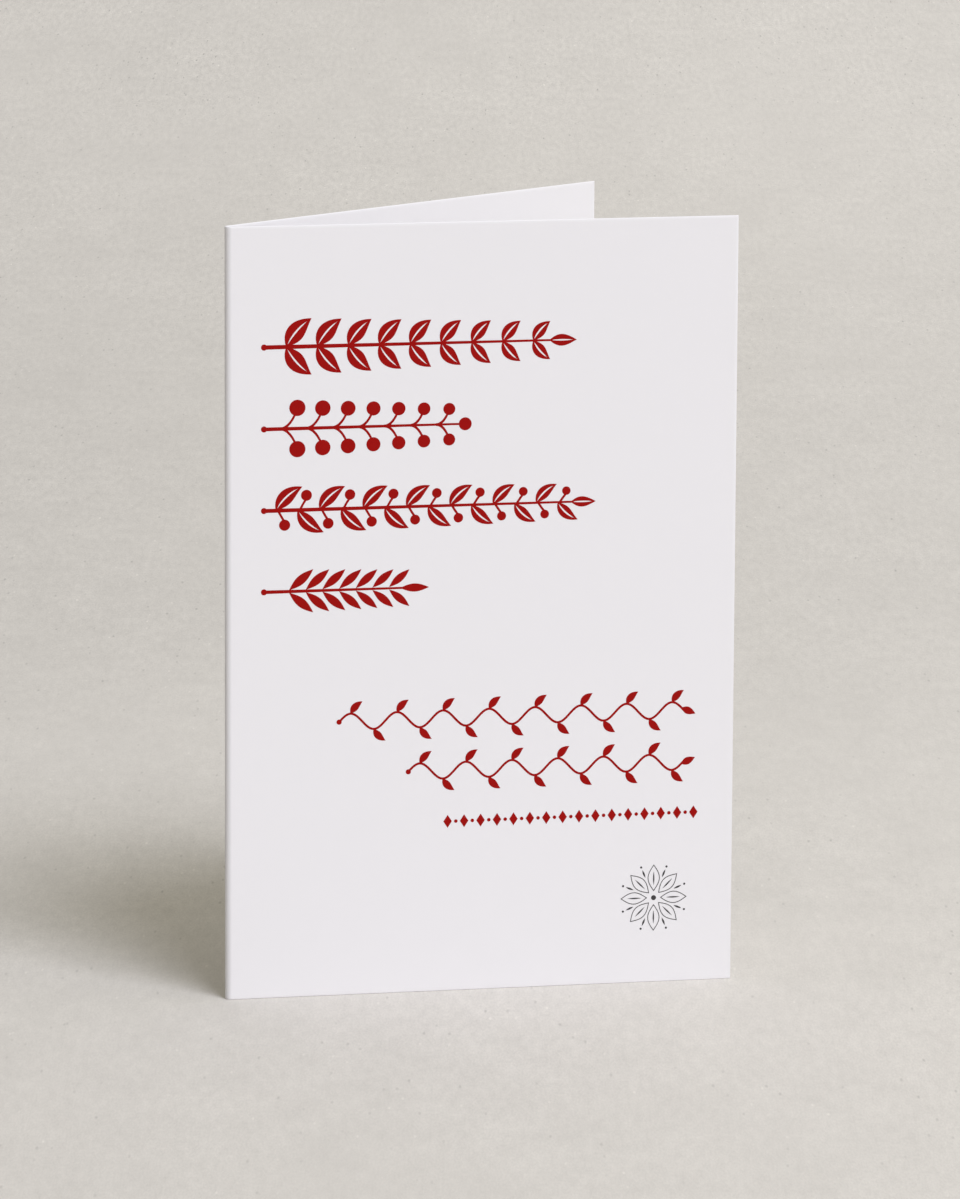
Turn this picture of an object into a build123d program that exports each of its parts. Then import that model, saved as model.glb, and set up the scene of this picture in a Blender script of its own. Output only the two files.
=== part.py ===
"""Greeting card: one sheet of card stock, scored down its middle, folded once and standing open on its lower edge.

Millimetres, +Z up. The front cover faces -Y with its fold at the left, -X, and the rear panel swings back
towards +Y. The origin is on the ground, in the middle of the card's footprint.
"""

import os
from math import radians

from build123d import *

# The sheet, before it is folded
sheet_width = 203.2
sheet_height = 152.4
stock_thickness = 0.4

# The fold, and how far the two panels stand apart
opening_angle = 32.5
fold_inner_radius = 0.8

# The ridge that scoring raises along the inside of the fold
bead_height = 0.2

# What the sheet's own length leaves for each panel once the fold has taken its share
bend_angle = 180 - opening_angle
bend_length = radians(bend_angle) * (fold_inner_radius + stock_thickness / 2)
panel_length = (sheet_width - bend_length) / 2
fold_outer_radius = fold_inner_radius + stock_thickness

# The sheet seen edge on from above, about the centre of its fold
with BuildSketch() as section:
    with BuildLine():
        cover_face = Line((panel_length, -fold_outer_radius), (0, -fold_outer_radius))
        fold_face = JernArc(cover_face @ 1, cover_face % 1, fold_outer_radius, -bend_angle)
        PolarLine(fold_face @ 1, panel_length, opening_angle)
        offset(amount=stock_thickness, side=Side.RIGHT)
    make_face()
    with PolarLocations(fold_inner_radius, 1, start_angle=180 + opening_angle / 2):
        Circle(bead_height)

footprint = section.sketch.bounding_box().center()

# The folded card, with the same section from its lower edge to its upper one
with BuildPart() as folded_card:
    with BuildSketch(Plane((-footprint.X, -footprint.Y, 0))):
        add(section.sketch)
    extrude(amount=sheet_height)

folded_card.part.label = "folded_card"
os.makedirs("parts", exist_ok=True)
export_step(folded_card.part, "parts/folded_card.step")
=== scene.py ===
"""Looks of the greeting card: a folded and printed sheet of white card, standing on a plain pale floor."""

import math

import bmesh
import bpy
from mathutils import Matrix, Vector
from mathutils.geometry import delaunay_2d_cdt


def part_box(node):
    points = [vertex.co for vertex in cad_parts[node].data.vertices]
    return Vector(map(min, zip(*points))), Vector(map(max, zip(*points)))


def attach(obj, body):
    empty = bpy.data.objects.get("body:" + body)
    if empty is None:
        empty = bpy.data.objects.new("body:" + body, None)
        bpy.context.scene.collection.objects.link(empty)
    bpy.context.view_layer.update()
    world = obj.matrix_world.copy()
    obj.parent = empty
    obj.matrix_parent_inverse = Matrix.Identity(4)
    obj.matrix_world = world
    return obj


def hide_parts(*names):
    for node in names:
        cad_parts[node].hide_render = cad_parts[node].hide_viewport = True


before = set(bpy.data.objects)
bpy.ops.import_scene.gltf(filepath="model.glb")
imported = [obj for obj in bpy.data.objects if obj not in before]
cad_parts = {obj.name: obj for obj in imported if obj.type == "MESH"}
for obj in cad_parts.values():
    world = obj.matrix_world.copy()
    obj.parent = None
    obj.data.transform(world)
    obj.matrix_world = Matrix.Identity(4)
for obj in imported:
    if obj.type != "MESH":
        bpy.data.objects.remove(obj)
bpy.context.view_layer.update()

MM = 0.001

# The sheet of card stock, its scored bead, its trimmed edge and the film of ink on its face
STOCK = 0.4 * MM
INNER_RADIUS = 0.8 * MM
BEAD_HEIGHT = 0.2 * MM
TRIM_ROUND = 0.15 * MM
INK_FILM = 0.02 * MM

# How closely the mesh follows the fold, the bead and the trimmed edge, and where its rows beside them lie
BEND_STEPS = 48
BEAD_DEGREES = range(105, 256, 15)
BEAD_FOOT = 0.004 * MM
BEAD_CLEARANCE = 0.02 * MM
TRIM_STEPS = 3
SUPPORT = 0.6 * MM
SHARP_ANGLE = math.radians(40)

# How far apart the rows of the cut edge lie once the sheet is laid flat for its picture
CHART_STEP = 0.6 * MM

# The place and size of the folded solid that the sheet stands for
LOW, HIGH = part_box("folded_card")
HEIGHT = HIGH.z - LOW.z
OUTER_RADIUS = INNER_RADIUS + STOCK
NEUTRAL_RADIUS = INNER_RADIUS + STOCK / 2
PANEL = HIGH.x - LOW.x - OUTER_RADIUS
RISE = math.asin((HIGH.y - LOW.y - OUTER_RADIUS) / math.hypot(PANEL, OUTER_RADIUS))
OPENING = RISE - math.atan2(OUTER_RADIUS, PANEL)
BEND = (math.pi - OPENING) * NEUTRAL_RADIUS
HALF = PANEL + BEND / 2
FOLD_CENTRE = Vector((LOW.x + OUTER_RADIUS, LOW.y + OUTER_RADIUS, LOW.z))


def folded(u, w, z):
    """Where a point of the flat sheet goes: u along it from the fold, w in from its outer face, z up."""
    turn = max(-BEND / 2, min(BEND / 2, u)) / NEUTRAL_RADIUS
    run = u - turn * NEUTRAL_RADIUS
    angle = math.pi + OPENING / 2 + turn
    out = Vector((math.cos(angle), math.sin(angle), 0))
    along = Vector((-math.sin(angle), math.cos(angle), 0))
    return FOLD_CENTRE + out * (OUTER_RADIUS - w) + along * run + Vector((0, 0, z))


def new_object(name, bm, material):
    mesh = bpy.data.meshes.new(name)
    bm.to_mesh(mesh)
    bm.free()
    mesh.materials.append(material)
    obj = bpy.data.objects.new(name, mesh)
    bpy.context.scene.collection.objects.link(obj)
    return obj


# Materials


class Nodes:
    """A short way to write a node tree."""

    def __init__(self, tree):
        self.tree = tree
        tree.nodes.clear()

    def add(self, kind, inputs=None, **settings):
        node = self.tree.nodes.new(kind)
        for name, value in settings.items():
            setattr(node, name, value)
        for name, value in (inputs or {}).items():
            if isinstance(value, bpy.types.NodeSocket):
                self.link(value, node.inputs[name])
            else:
                node.inputs[name].default_value = value
        return node

    def link(self, value, socket):
        self.tree.links.new(value, socket)

    def noise(self, place, scale, detail, roughness, distortion=0.0):
        inputs = {"Vector": place, "Scale": scale, "Detail": detail, "Roughness": roughness}
        inputs["Distortion"] = distortion
        return self.add("ShaderNodeTexNoise", inputs).outputs["Fac"]

    def spread(self, value, low, high, source=(0.25, 0.75), kind="LINEAR"):
        """The value carried from its source range, which for noise is its usual one, to low and high."""
        start, end = source
        inputs = {"Value": value, "From Min": start, "From Max": end, "To Min": low, "To Max": high}
        return self.add("ShaderNodeMapRange", inputs, interpolation_type=kind).outputs["Result"]

    def maths(self, operation, a, b=0.0):
        return self.add("ShaderNodeMath", {0: a, 1: b}, operation=operation).outputs[0]

    def total(self, *values):
        out = values[0]
        for value in values[1:]:
            out = self.maths("ADD", out, value)
        return out

    def along(self, place, direction):
        """How far a place lies along a direction."""
        product = self.add("ShaderNodeVectorMath", {0: place, 1: direction}, operation="DOT_PRODUCT")
        return product.outputs["Value"]

    def spots(self, place, scale, reach, share):
        """Sparse round spots, 1 at the middle of each and 0 outside it, in this share of the cells."""
        cells = self.add("ShaderNodeTexVoronoi", {"Vector": place, "Scale": scale})
        pick = self.add("ShaderNodeSeparateColor", {"Color": cells.outputs["Color"]}).outputs[0]
        rare = self.spread(pick, 0.0, 1.0, (1 - share, 1.02 - share))
        near = self.spread(cells.outputs["Distance"], 1.0, 0.0, (0.0, reach))
        return self.maths("MULTIPLY", near, rare)

    def shade(self, factor, dark, light, clamp=True):
        mix = self.add("ShaderNodeMix", data_type="RGBA", clamp_factor=clamp)
        self.link(factor, mix.inputs["Factor"])
        mix.inputs[6].default_value = (*dark, 1)
        mix.inputs[7].default_value = (*light, 1)
        return mix.outputs[2]

    def bump(self, height, strength, distance, normal=None):
        inputs = {"Height": height, "Strength": strength, "Distance": distance}
        if normal is not None:
            inputs["Normal"] = normal
        return self.add("ShaderNodeBump", inputs).outputs["Normal"]


def surface(name, build):
    material = bpy.data.materials.new(name)
    material.use_nodes = True
    nodes = Nodes(material.node_tree)
    place = nodes.add("ShaderNodeTexCoord").outputs["Object"]
    shader = nodes.add("ShaderNodeBsdfPrincipled")
    build(nodes, place, shader.inputs)
    nodes.add("ShaderNodeOutputMaterial", {"Surface": shader.outputs["BSDF"]})
    return material


GRAIN_DEPTH = 0.02 * MM
STOCK_DARK, STOCK_LIGHT = (0.8295, 0.8145, 0.8355), (0.8365, 0.8215, 0.8425)
RED_DARK, RED_LIGHT = (0.293, 0.0020, 0.0013), (0.350, 0.0031, 0.0020)
GREY_DARK, GREY_LIGHT = (0.048, 0.045, 0.047), (0.066, 0.062, 0.064)


def stock_look(nodes, place, inputs):
    """Smooth uncoated white card: a faint cloud in its tone, and fine fibres that show only up close."""
    cloud = nodes.noise(place, 190, 4, 0.55)
    fibre = nodes.noise(place, 2300, 3, 0.6, 0.8)
    tone = nodes.total(nodes.spread(cloud, 0.0, 0.5), nodes.spread(fibre, 0.0, 0.5))
    relief = nodes.bump(fibre, 0.2, GRAIN_DEPTH, nodes.bump(cloud, 0.2, GRAIN_DEPTH))
    nodes.link(nodes.shade(tone, STOCK_DARK, STOCK_LIGHT), inputs["Base Color"])
    nodes.link(nodes.spread(fibre, 0.72, 0.86), inputs["Roughness"])
    nodes.link(relief, inputs["Normal"])
    inputs["Specular IOR Level"].default_value = 0.35


def ink_look(dark, light):
    """A thin film of ink that lies a little unevenly in the paper's grain."""

    def build(nodes, place, inputs):
        cloud = nodes.noise(place, 260, 3, 0.55)
        grain = nodes.noise(place, 3000, 3, 0.65, 0.6)
        tone = nodes.total(nodes.spread(cloud, 0.0, 0.45), nodes.spread(grain, 0.0, 0.55))
        nodes.link(nodes.shade(tone, dark, light), inputs["Base Color"])
        nodes.link(nodes.spread(grain, 0.55, 0.72), inputs["Roughness"])
        nodes.link(nodes.bump(grain, 0.35, GRAIN_DEPTH), inputs["Normal"])
        inputs["Specular IOR Level"].default_value = 0.1

    return build


# The floor's grain is drawn out towards the back, more so the further it goes, and its clouds half as much
FLOOR_ACROSS = (0.978, -0.208, 0.0)
FLOOR_AWAY = (0.208, 0.978, 0.0)
FLOOR_DRAW = 0.24
FLOOR_WIDE = 2.0
FLOOR_REACH = 1.5

# Its layers of noise: scale, roughness, and how far the tone swings to each side
FLOOR_FINE = (2400, 0.6, 0.25)
FLOOR_MOTTLE = (560, 0.55, 0.17)
FLOOR_BROAD = (110, 0.5, 0.09)
FLOOR_CLOUD = (28, 0.5, 0.09)
FLOOR_PATCH = (14, 0.55, 0.45)

# Its dark pits and pale specks: scale, size in their cell, share of the cells that have one, and strength
FLOOR_PITS = (420, 0.17, 0.3, -0.9)
FLOOR_SPECKS = (370, 0.13, 0.3, 0.7)

# How its grain gets stronger on the way back, and its tone rises to the right, a painted light that falls
# off to the left: from, to, and between where
FLOOR_GAIN = (0.95, 1.7, (0.1, 1.6))
FLOOR_PAINTED_SIDE_LIGHT = (-0.17, 0.17, (-0.12, 0.12))

# Painted light and shade in its tone on the way back, lightest in front of the card, darker from just in
# front of it, darker still in the middle distance and lighter again far back: from, to and by how much
FLOOR_PAINTED_DEPTH_SHADE = ((-0.15, -0.03, -0.07), (0.15, 0.4, -0.2), (0.6, 1.4, 0.2))
FLOOR_MIDDLE = 0.57
FLOOR_DARK, FLOOR_LIGHT = (0.557, 0.531, 0.494), (0.723, 0.690, 0.642)


def floor_look(nodes, place, inputs):
    """Fine pale plaster: a mottle with pits and specks that comes and goes in patches, and soft clouds,
    with painted light and shade in its tone that falls off to the left and darkens in the middle distance.
    """

    def layer(spot, scale, roughness, swing, middle=0.0):
        return nodes.spread(nodes.noise(spot, scale, 3, roughness), middle - swing, middle + swing)

    def marks(spot, scale, reach, share, strength):
        return nodes.maths("MULTIPLY", nodes.spots(spot, scale, reach, share), strength)

    across, away = nodes.along(place, FLOOR_ACROSS), nodes.along(place, FLOOR_AWAY)
    bent = nodes.maths("ARCTANGENT", nodes.maths("DIVIDE", away, FLOOR_REACH))
    drawn = nodes.maths("MULTIPLY", bent, FLOOR_REACH * FLOOR_DRAW)
    widened = nodes.maths("MULTIPLY", drawn, FLOOR_WIDE)
    grain = nodes.add("ShaderNodeCombineXYZ", {"X": across, "Y": drawn}).outputs[0]
    wide = nodes.add("ShaderNodeCombineXYZ", {"X": across, "Y": widened}).outputs[0]

    relief = [layer(grain, *FLOOR_FINE), layer(grain, *FLOOR_MOTTLE)]
    relief += [marks(grain, *FLOOR_PITS), marks(grain, *FLOOR_SPECKS)]
    patch, gain = layer(wide, *FLOOR_PATCH, middle=1.0), nodes.spread(away, *FLOOR_GAIN)
    rough = nodes.maths("MULTIPLY", nodes.total(*relief), nodes.maths("MULTIPLY", patch, gain))
    clouds = [layer(wide, *FLOOR_BROAD), layer(wide, *FLOOR_CLOUD)]
    # painted shade in the floor's tone: darker from just in front of the card and more in the middle
    # distance, lighter again far back
    painted_depth_shade = [nodes.spread(away, 0.0, by, (start, end), "SMOOTHSTEP") for start, end, by in FLOOR_PAINTED_DEPTH_SHADE]
    # painted light: the tone rises to the right across the floor and falls off to the left
    tone = nodes.total(rough, *clouds, nodes.spread(across, *FLOOR_PAINTED_SIDE_LIGHT), *painted_depth_shade, FLOOR_MIDDLE)
    nodes.link(nodes.shade(tone, FLOOR_DARK, FLOOR_LIGHT, clamp=False), inputs["Base Color"])
    inputs["Roughness"].default_value = 0.95
    inputs["Specular IOR Level"].default_value = 0.1


card_stock = surface("card_stock", stock_look)
red_ink = surface("red_ink", ink_look(RED_DARK, RED_LIGHT))
grey_ink = surface("grey_ink", ink_look(GREY_DARK, GREY_LIGHT))
floor_plaster = surface("floor_plaster", floor_look)


# The sheet


def stations():
    """Places along the sheet with the depth of its inner face there, which rises over the scored bead."""
    bead = []
    for degrees in BEAD_DEGREES:
        a = math.radians(degrees)
        aside = BEAD_HEIGHT * math.sin(a)
        reach = INNER_RADIUS + BEAD_HEIGHT * math.cos(a)
        bead.append((math.atan2(aside, reach) * NEUTRAL_RADIUS, OUTER_RADIUS - math.hypot(aside, reach)))
    foot = bead[0][0] + BEAD_FOOT
    bend = [BEND * (k / BEND_STEPS - 0.5) for k in range(BEND_STEPS + 1)]
    places = [(u, STOCK) for u in bend if abs(u) > foot + BEAD_CLEARANCE]
    places += [(-foot, STOCK), *bead, (foot, STOCK)]
    places += [(side * (BEND / 2 + SUPPORT), STOCK) for side in (-1, 1)]
    return sorted(places)


def rim():
    """The cut edge from the outer face round to the inner one: how far in, how deep, from which face."""
    turn = [math.pi / 2 * k / TRIM_STEPS for k in range(TRIM_STEPS + 1)]
    arc = [(TRIM_ROUND * (1 - math.sin(a)), TRIM_ROUND * (1 - math.cos(a))) for a in turn]
    outer = [(SUPPORT, 0.0, "outer")] + [(inset, deep, "outer") for inset, deep in arc]
    inner = [(inset, deep, "inner") for inset, deep in reversed(arc)] + [(SUPPORT, 0.0, "inner")]
    return outer + [(0.0, 0.0, "middle")] + inner


def sheet():
    """The folded sheet, closed: rings of points from its outer face round the cut edge to its inner one."""
    places = stations()
    rows = rim()
    middle = len(rows) // 2
    bm = bmesh.new()
    chart = bm.loops.layers.uv.new("OFBake")
    rings, charted = [], {}
    for row, (inset, deep, side) in enumerate(rows):
        end = HALF - inset
        spill = CHART_STEP * min(row, len(rows) - 1 - row)
        low, high = [], []
        for u, inner_face in [(-end, STOCK), *places, (end, STOCK)]:
            if side == "outer":
                depth = INK_FILM + deep
            elif side == "inner":
                depth = inner_face - deep
            else:
                depth = (INK_FILM + inner_face) / 2
            aside = math.copysign(spill, u) if abs(u) == end else 0.0
            for line, z, away in ((low, inset, -spill), (high, HEIGHT - inset, spill)):
                line.append(bm.verts.new(folded(u, depth, z)))
                charted[line[-1]] = (row, u + aside, z + away)
        rings.append((low, high))
    for (low_a, high_a), (low_b, high_b) in zip(rings, rings[1:]):
        loop_a = low_a + high_a[::-1]
        loop_b = low_b + high_b[::-1]
        for k in range(len(loop_a)):
            n = (k + 1) % len(loop_a)
            bm.faces.new((loop_a[k], loop_b[k], loop_b[n], loop_a[n]))
    for low, high in (rings[0], rings[-1]):
        for k in range(len(low) - 1):
            bm.faces.new((low[k], low[k + 1], high[k + 1], high[k]))
    bmesh.ops.recalc_face_normals(bm, faces=bm.faces)
    lay_flat(bm, chart, charted, middle)
    obj = new_object("card", bm, card_stock)
    obj.data.set_sharp_from_angle(angle=SHARP_ANGLE)
    return obj


def lay_flat(bm, chart, charted, middle):
    """The sheet laid flat for its baked picture: outer face below, inner one above, cut edge spread out."""
    edge = CHART_STEP * (middle + 1)
    for face in bm.faces:
        face.smooth = True
        inner = max(charted[vert][0] for vert in face.verts) > middle
        for loop in face.loops:
            u, z = charted[loop.vert][1:]
            x = 0.5 + (-u if inner else u) / (2 * (HALF + edge))
            loop[chart].uv = (x, 0.5 * inner + (z + edge) / (2 * (HEIGHT + 2 * edge)))


card = sheet()


# The print, built up from simple outlines, in millimetres on the cover from its fold and its lower edge


def placed(x, y, degrees, outline):
    """The outline turned by degrees and moved to x, y."""
    c, s = math.cos(math.radians(degrees)), math.sin(math.radians(degrees))
    return [(x + px * c - py * s, y + px * s + py * c) for px, py in outline]


DOT_STEPS = 16


def disc(x, y, radius, steps=28):
    turns = [2 * math.pi * k / steps for k in range(steps)]
    return [(x + radius * math.cos(a), y + radius * math.sin(a)) for a in turns]


def lozenge(x, y, width, height):
    return [(x + width / 2, y), (x, y + height / 2), (x - width / 2, y), (x, y - height / 2)]


def petal(x, y, degrees, length, width, steps=14):
    edge = [(k / steps * length, width / 2 * math.sin(math.pi * k / steps)) for k in range(steps + 1)]
    return placed(x, y, degrees, edge + [(px, -py) for px, py in edge[-2:0:-1]])


def stroke(line, start, end=None):
    """A line with a width, which may taper from its start to its end."""
    end = start if end is None else end
    left, right = [], []
    for k, (x, y) in enumerate(line):
        x0, y0 = line[max(k - 1, 0)]
        x1, y1 = line[min(k + 1, len(line) - 1)]
        run = math.hypot(x1 - x0, y1 - y0)
        half = (start + (end - start) * k / (len(line) - 1)) / 2
        nx, ny = -(y1 - y0) / run * half, (x1 - x0) / run * half
        left.append((x + nx, y + ny))
        right.append((x - nx, y - ny))
    return left + right[::-1]


# A leaf's widest place lies towards its base, and its bare midrib takes up this much of its length
LEAF_LEAN = 0.85
RIB_START = 0.1
RIB_RUN = 0.72


def leaf(x, y, degrees, length, width, bend=0.0, rib=0.0, steps=16):
    """A pointed leaf on an arc that turns by bend, in two halves that leave its midrib bare."""
    middle = []
    angle = math.radians(degrees + bend / 2)
    for k in range(steps + 1):
        middle.append((x, y, angle))
        x, y = x + length / steps * math.cos(angle), y + length / steps * math.sin(angle)
        angle -= math.radians(bend) / steps
    halves = []
    for side in (1, -1):
        outer, inner = [], []
        for k, (mx, my, a) in enumerate(middle):
            t = k / steps
            wide = side * width / 2 * math.sin(math.pi * t ** LEAF_LEAN)
            slit = 0.0
            if RIB_START < t < RIB_START + RIB_RUN:
                slit = side * rib / 2 * math.sin(math.pi * (t - RIB_START) / RIB_RUN) ** 0.5
            outer.append((mx - math.sin(a) * wide, my + math.cos(a) * wide))
            inner.append((mx - math.sin(a) * slit, my + math.cos(a) * slit))
        halves.append(outer + inner[-2:0:-1])
    return halves


# What the four sprigs share: a dot at the root, the stem's width at its end, the width of the bare midrib
# in a leaf and in the last one, and how far back from the stem's end the last one starts. In each sprig,
# thick is the stem's width at the root, first is where its first leaf or berry leaves the stem and over is
# how far the stem runs past its last step, both in steps, and taper is what the last one has lost in size
ROOT_DOT = 0.6
STEM_END = 0.4
RIB = 0.34
LAST_RIB = 0.3
LAST_BACK = 0.6


def stem(x, y, end, thick):
    """A straight stem that tapers from the dot at its root."""
    return [disc(x, y, ROOT_DOT), stroke([(x, y), (end, y)], thick, STEM_END)]


def laurel(x, y, pairs, pitch, length, width, thick=0.85, first=0.72, over=0.35, taper=0.36):
    """A stem with a pair of curved leaves at each step and one at its tip."""
    lean, bend = 47, 34
    end = x + pitch * (pairs + over)
    shapes = stem(x, y, end, thick)
    for k in range(pairs):
        size = 1 - taper * k / pairs
        at = x + pitch * (k + first)
        for side in (1, -1):
            shapes += leaf(at, y, side * lean, length * size, width * size, side * bend, RIB)
    return shapes + leaf(end - LAST_BACK, y, 0, length * 0.72, width * 0.66, rib=LAST_RIB)


# A berry's stalk curves away from the stem: its reach and its turn along the stem, and those away from it
STALK_ALONG = (0.95, 1.1)
STALK_AWAY = (1.12, 1.45)
STALK_STEPS = 8


def berries(x, y, pairs, pitch, reach, radius, thick=0.75, first=0.6, over=0.5, taper=0.3):
    """A stem with a pair of berries at each step, on curved stalks, and one at its tip."""
    end = x + pitch * (pairs + over)
    shapes = stem(x, y, end, thick) + [disc(end + radius * 0.7, y, radius * 0.8)]
    for k in range(pairs):
        size = 1 - taper * k / pairs
        at = x + pitch * (k + first)
        for side in (1, -1):
            stalk = []
            for j in range(STALK_STEPS + 1):
                along = STALK_ALONG[0] * math.sin(STALK_ALONG[1] * j / STALK_STEPS)
                away = STALK_AWAY[0] * (1 - math.cos(STALK_AWAY[1] * j / STALK_STEPS))
                stalk.append((at + reach * size * along, y + side * reach * size * away))
            shapes += [stroke(stalk, 0.55, STEM_END), disc(*stalk[-1], radius * size)]
    return shapes


# The olive's stalks and fruit, each along the stem from a leaf and away from it on its other side
OLIVE_STALK = ((0.4, 0.0), (1.1, 1.3), (1.6, 2.1))
OLIVE_FRUIT = (1.7, 2.9)


def olive(x, y, leaves, pitch, length, width, radius, thick=0.8, first=0.55, over=0.3, taper=0.25):
    """A stem with leaves set by turns above and below it, and a small fruit across from each."""
    lean, bend = 40, 42
    end = x + pitch * (leaves + over)
    shapes = stem(x, y, end, thick)
    for k in range(leaves):
        side = 1 if k % 2 == 0 else -1
        size = 1 - taper * k / leaves
        at = x + pitch * (k + first)
        shapes += leaf(at, y, side * lean, length * size, width * size, side * bend, RIB)
        stalk = [(at + along, y - side * away * size) for along, away in OLIVE_STALK]
        shapes.append(stroke(stalk, 0.45))
        shapes.append(disc(at + OLIVE_FRUIT[0], y - side * OLIVE_FRUIT[1] * size, radius * size))
    return shapes + leaf(end - LAST_BACK, y, 0, length * 0.7, width * 0.7, rib=LAST_RIB)


def wheat(x, y, pairs, pitch, length, width, thick=0.7, first=0.5, over=0.4, taper=0.2):
    """An ear of slim grains in pairs along its stem, from its second step on, and one at its tip."""
    lean = 40
    end = x + pitch * (pairs + over)
    shapes = stem(x, y, end, thick)
    for k in range(1, pairs):
        size = 1 - taper * k / pairs
        at = x + pitch * (k + first)
        for side in (1, -1):
            shapes.append(petal(at, y + side * 0.25, side * lean, length * size, width * size))
    return shapes + [petal(end - 0.8, y, 0, length * 0.9, width * 0.9)]


def vine(end, y, waves, period, swing, thick, length, width, steps=24):
    """A thin waving stem from a bud, with a leaf on each crest, in each trough and at its end."""
    lean, bend, tip_lean = 44, 40, 24
    start = end - period * waves
    count = int(steps * waves)
    line = []
    for k in range(count + 1):
        wave = math.sin(2 * math.pi * waves * k / count)
        line.append((start + period * waves * k / count, y + swing * wave))
    tip = math.copysign(tip_lean, line[-1][1] - line[-2][1])
    shapes = [stroke(line, thick), disc(*line[0], thick * 1.15), *leaf(*line[-2], tip, length * 0.9, width)]
    for k in range(int(waves * 2)):
        side = 1 if k % 2 == 0 else -1
        at = start + period * (0.25 + k / 2)
        shapes += leaf(at, y + side * swing, side * lean, length, width, side * bend)
    return shapes


def beads(end, y, count, pitch, width, height, radius):
    """A row of lozenges with a dot between each two, back from its right end."""
    shapes = []
    for k in range(count):
        shapes.append(lozenge(end - pitch * k, y, width, height))
        if k:
            shapes.append(disc(end - pitch * (k - 0.5), y, radius, DOT_STEPS))
    return shapes


def petal_line(x, length, width, thick, steps=20):
    """A petal's outline along the x axis, in an upper and a lower half."""
    inset = thick / math.sin(math.atan(math.pi * width / (2 * length)))
    halves = []
    for side in (1, -1):
        outer, inner = [], []
        for k in range(steps + 1):
            swell = side * math.sin(math.pi * k / steps)
            outer.append((x + length * k / steps, swell * width / 2))
            inner.append((x + inset + (length - 2 * inset) * k / steps, swell * (width / 2 - thick)))
        halves.append(outer + inner[::-1])
    return halves


def rosette(x, y, petals=8):
    """Petals in outline round a dot, each with a vein, and a slim petal and a dot between each two."""
    shapes = [disc(x, y, 0.5)]
    for k in range(petals):
        turn = 360 / petals * k
        on = petal_line(1.3, length=5.4, width=2.45, thick=0.15)
        on.append(petal(2.5, 0, 0, length=2.8, width=0.28))
        between = [petal(4.4, 0, 0, length=1.7, width=0.36), disc(6.7, 0, 0.22, DOT_STEPS)]
        shapes += [placed(x, y, turn, part) for part in on]
        shapes += [placed(x, y, turn + 180 / petals, part) for part in between]
    return shapes


def turned_left(outline):
    """The outline with its points in the order that keeps its inside on the left."""
    area = sum(x0 * y1 - x1 * y0 for (x0, y0), (x1, y1) in zip(outline, outline[1:] + outline[:1]))
    return outline if area > 0 else outline[::-1]


# What the triangulation keeps, the inside of the shapes, and how near two points count as one, in mm
KEEP_INSIDE = 1
SAME_POINT = 1e-3


def printed(name, shapes, material):
    """A film of ink: the shapes joined into one, a little proud of the paper and a little soaked in."""
    points, faces = [], []
    for shape in shapes:
        faces.append(list(range(len(points), len(points) + len(shape))))
        points += [Vector(p) for p in turned_left(shape)]
    points, _, triangles, _, _, inside = delaunay_2d_cdt(points, [], faces, KEEP_INSIDE, SAME_POINT)
    triangles = [t for t, own in zip(triangles, inside) if own]
    edges = {(a, b) for t in triangles for a, b in zip(t, t[1:] + t[:1])}
    bm = bmesh.new()
    top, bottom = {}, {}
    for k in sorted({k for t in triangles for k in t}):
        u = points[k].x * MM - OUTER_RADIUS + BEND / 2
        top[k] = bm.verts.new(folded(u, 0.0, points[k].y * MM))
        bottom[k] = bm.verts.new(folded(u, 2 * INK_FILM, points[k].y * MM))
    for t in triangles:
        bm.faces.new([top[k] for k in t])
        bm.faces.new([bottom[k] for k in reversed(t)])
    for a, b in sorted(edges):
        if (b, a) not in edges:
            bm.faces.new((top[b], top[a], bottom[a], bottom[b]))
    bmesh.ops.recalc_face_normals(bm, faces=bm.faces)
    return new_object(name, bm, material)


# Four sprigs from the left margin, then two vines and a row of beads up to the right one, and the rosette
MARGIN = 7.5
TOP_ROW = 128.8
ROW_PITCH = 16
VINE_END = 91.4
VINE = {"period": 9.2, "swing": 1.6, "thick": 0.45, "length": 3.4, "width": 1.45}
BEAD = {"pitch": 3.3, "width": 1.7, "height": 2.6, "radius": 0.36}

heights = [TOP_ROW - ROW_PITCH * k for k in range(4)]
ornament = laurel(MARGIN, heights[0], pairs=9, pitch=6.1, length=7.5, width=3.5)
ornament += berries(MARGIN, heights[1], pairs=7, pitch=5.15, reach=4.1, radius=1.6)
ornament += olive(MARGIN, heights[2], leaves=14, pitch=4.3, length=7.1, width=2.9, radius=1.1)
ornament += wheat(MARGIN, heights[3], pairs=8, pitch=3.3, length=6.4, width=1.8)
ornament += vine(VINE_END, 54.6, waves=7.5, **VINE)
ornament += vine(VINE_END, 44.2, waves=6, **VINE)
ornament += beads(93.6, 34, count=16, **BEAD)
red_print = printed("cover_print_red", ornament, red_ink)
grey_print = printed("cover_print_grey", rosette(85.7, 17), grey_ink)

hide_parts("folded_card")
for piece in (card, red_print, grey_print):
    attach(piece, "root")


# The floor, the light and the camera

FLOOR_HALF = 40.0

KEY_AZIMUTH = 22
KEY_ELEVATION = 50
KEY_STRENGTH = 2.342
KEY_ANGLE = 30
KEY_COLOUR = (0.859, 0.884, 1.0)

# The sky is brighter on the right and falls off to the left
SKY_COLOUR = (1.0, 0.971, 0.849)
SKY_MIDDLE = 0.6
SKY_RISE_RIGHT = 0.19
SKY_FALL_LEFT = 0.58
BACKDROP = (0.65, 0.62, 0.58)

CAMERA_AZIMUTH = -12.02
CAMERA_ELEVATION = 10.34
CAMERA_DISTANCE = 1589.2 * MM
CAMERA_AIM = (5.45 * MM, 72.97 * MM)
CAMERA_ROLL = math.radians(0.301)
CAMERA_LENS = 240.2
CAMERA_REACH = 200


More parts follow.
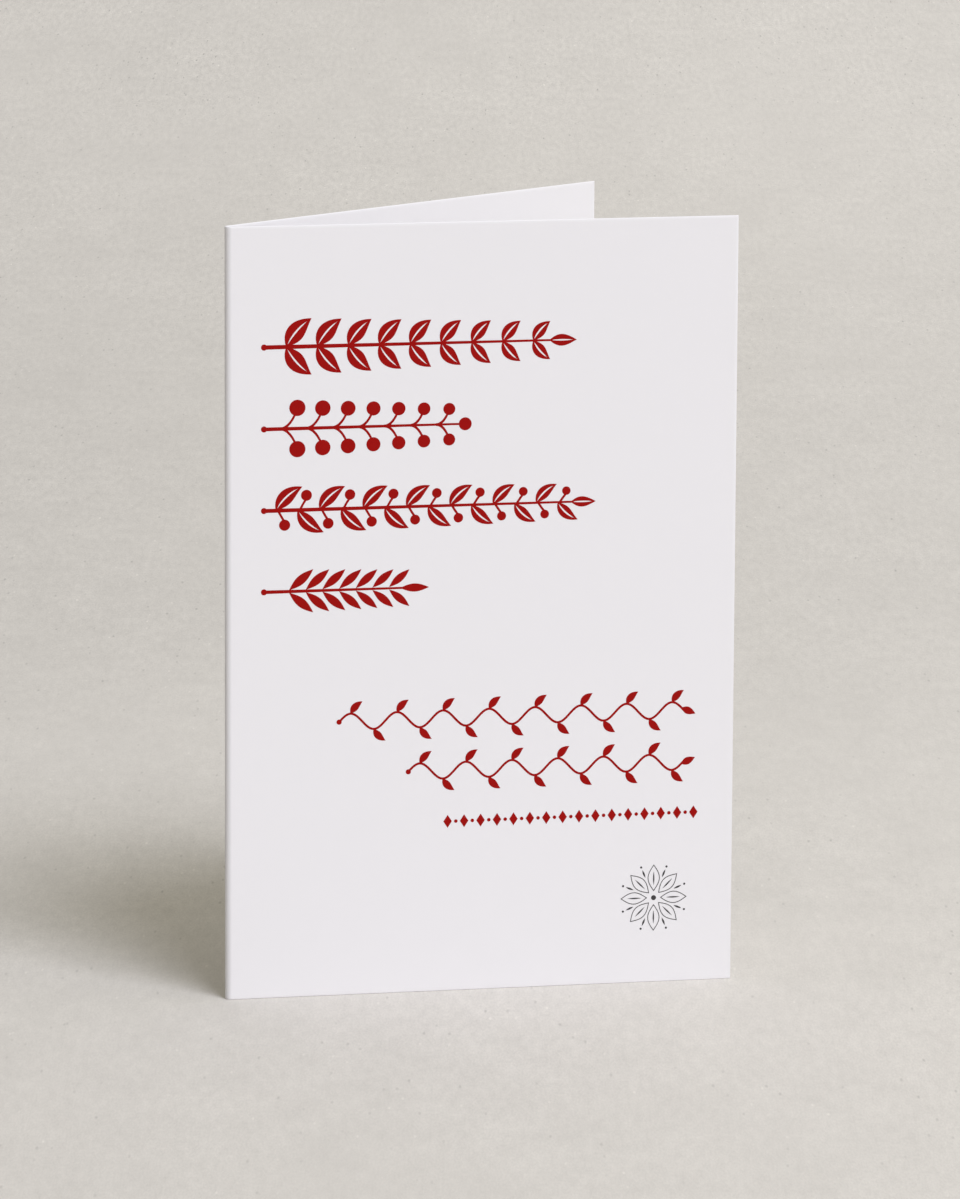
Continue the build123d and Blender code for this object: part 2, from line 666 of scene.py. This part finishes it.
def towards(azimuth, elevation):
    """The direction from the object towards a viewer or lamp at an azimuth and elevation in degrees."""
    a, e = math.radians(azimuth), math.radians(elevation)
    return Vector((math.sin(a) * math.cos(e), -math.cos(a) * math.cos(e), math.sin(e)))


def lay_floor():
    bm = bmesh.new()
    corners = ((-1, -1), (1, -1), (1, 1), (-1, 1))
    bm.faces.new([bm.verts.new((x * FLOOR_HALF, y * FLOOR_HALF, LOW.z)) for x, y in corners])
    new_object("floor", bm, floor_plaster)


def hang_key():
    key = bpy.data.lights.new("key", "SUN")
    key.energy = KEY_STRENGTH
    key.angle = math.radians(KEY_ANGLE)
    key.color = KEY_COLOUR
    lamp = bpy.data.objects.new("key", key)
    lamp.rotation_mode = "QUATERNION"
    lamp.rotation_quaternion = (-towards(KEY_AZIMUTH, KEY_ELEVATION)).to_track_quat("-Z", "Y")
    bpy.context.scene.collection.objects.link(lamp)


def light_sky():
    """A soft sky that lights the object, with a plain backdrop where it is seen or mirrored."""
    world = bpy.data.worlds.new("studio")
    world.use_nodes = True
    air = Nodes(world.node_tree)
    rays = air.add("ShaderNodeLightPath").outputs
    seen = air.maths("MAXIMUM", rays["Is Camera Ray"], rays["Is Glossy Ray"])
    seen = air.maths("MAXIMUM", seen, rays["Is Transmission Ray"])
    place = air.add("ShaderNodeTexCoord").outputs["Generated"]
    rightward = air.add("ShaderNodeSeparateXYZ", {"Vector": place}).outputs["X"]
    rise = air.maths("MULTIPLY", rightward, SKY_RISE_RIGHT)
    fall = air.maths("MULTIPLY", rightward, SKY_FALL_LEFT)
    glow = air.maths("ADD", air.maths("MINIMUM", rise, fall), SKY_MIDDLE)
    lit = air.add("ShaderNodeBackground", {"Color": (*SKY_COLOUR, 1), "Strength": glow}).outputs[0]
    shown = air.add("ShaderNodeBackground", {"Color": (*BACKDROP, 1), "Strength": 1.0}).outputs[0]
    both = air.add("ShaderNodeMixShader", {0: seen, 1: lit, 2: shown}).outputs[0]
    air.add("ShaderNodeOutputWorld", {"Surface": both})
    bpy.context.scene.world = world


def set_camera():
    back = towards(CAMERA_AZIMUTH, CAMERA_ELEVATION)
    azimuth = math.radians(CAMERA_AZIMUTH)
    right = Vector((math.cos(azimuth), math.sin(azimuth), 0))
    up = back.cross(right)
    rolled_right = right * math.cos(CAMERA_ROLL) + up * math.sin(CAMERA_ROLL)
    rolled_up = up * math.cos(CAMERA_ROLL) - right * math.sin(CAMERA_ROLL)
    camera = bpy.data.objects.new("camera", bpy.data.cameras.new("camera"))
    camera.data.lens = CAMERA_LENS
    camera.data.clip_end = CAMERA_REACH
    camera.rotation_mode = "QUATERNION"
    camera.rotation_quaternion = Matrix((rolled_right, rolled_up, back)).transposed().to_quaternion()
    camera.location = right * CAMERA_AIM[0] + Vector((0, 0, CAMERA_AIM[1])) + back * CAMERA_DISTANCE
    bpy.context.scene.collection.objects.link(camera)
    bpy.context.scene.camera = camera


lay_floor()
hang_key()
light_sky()
set_camera()
bpy.context.scene.view_settings.view_transform = "Standard"
